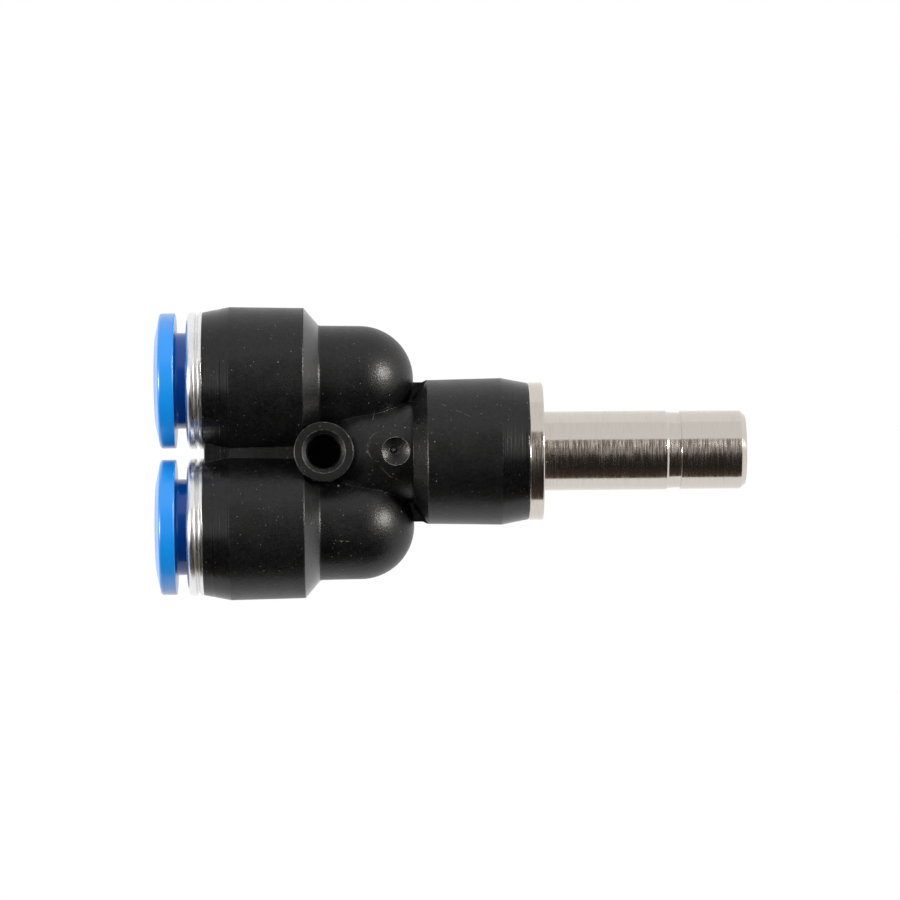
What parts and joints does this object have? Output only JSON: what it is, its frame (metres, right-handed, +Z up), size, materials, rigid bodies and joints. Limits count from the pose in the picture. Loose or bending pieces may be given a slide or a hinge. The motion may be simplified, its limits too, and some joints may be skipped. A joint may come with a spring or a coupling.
{
  "type": "push-in tube y connector",
  "caption": "Push-in pneumatic tube splitter with side-by-side release-sleeve ports, round elbows, a screw hole in the web and a plated plug-in stem.",
  "frame": {"origin": "on the plug-in stem's axis, at the shoulder face that the stem is pushed in up to", "axes": "+X along the stem to its tip, +Y across the ports, +Z up off the surface that it lies on"},
  "size_m": [0.0596, 0.0296, 0.0148],
  "materials": {
    "housing_plastic": "moulded glass-filled polyester, satin",
    "sleeve_plastic": "moulded acetal, smooth",
    "plated_brass": "turned brass, nickel plated",
    "spring_steel": "pressed stainless strip",
    "ring_plastic": "moulded acetal, natural",
    "seal_rubber": "nitrile rubber"
  },
  "bodies": {
    "housing": {"body": "housing_plastic", "stem": "plated_brass", "stem_o_ring": "seal_rubber", "upper_cap_ring": "plated_brass", "upper_grab_ring": "spring_steel", "upper_back_ring": "ring_plastic", "upper_seal_ring": "seal_rubber", "lower_cap_ring": "plated_brass", "lower_grab_ring": "spring_steel", "lower_back_ring": "ring_plastic", "lower_seal_ring": "seal_rubber"},
    "upper_sleeve": {"upper_release_sleeve": "sleeve_plastic"},
    "lower_sleeve": {"lower_release_sleeve": "sleeve_plastic"}
  },
  "joints": [
    {"name": "upper_release", "type": "slide", "parent": "housing", "child": "upper_sleeve", "axis": [1, 0, 0], "range_m": [0, 0.001], "deforming": ["upper_grab_ring"]},
    {"name": "lower_release", "type": "slide", "parent": "housing", "child": "lower_sleeve", "axis": [1, 0, 0], "range_m": [0, 0.001], "deforming": ["lower_grab_ring"]}
  ]
}
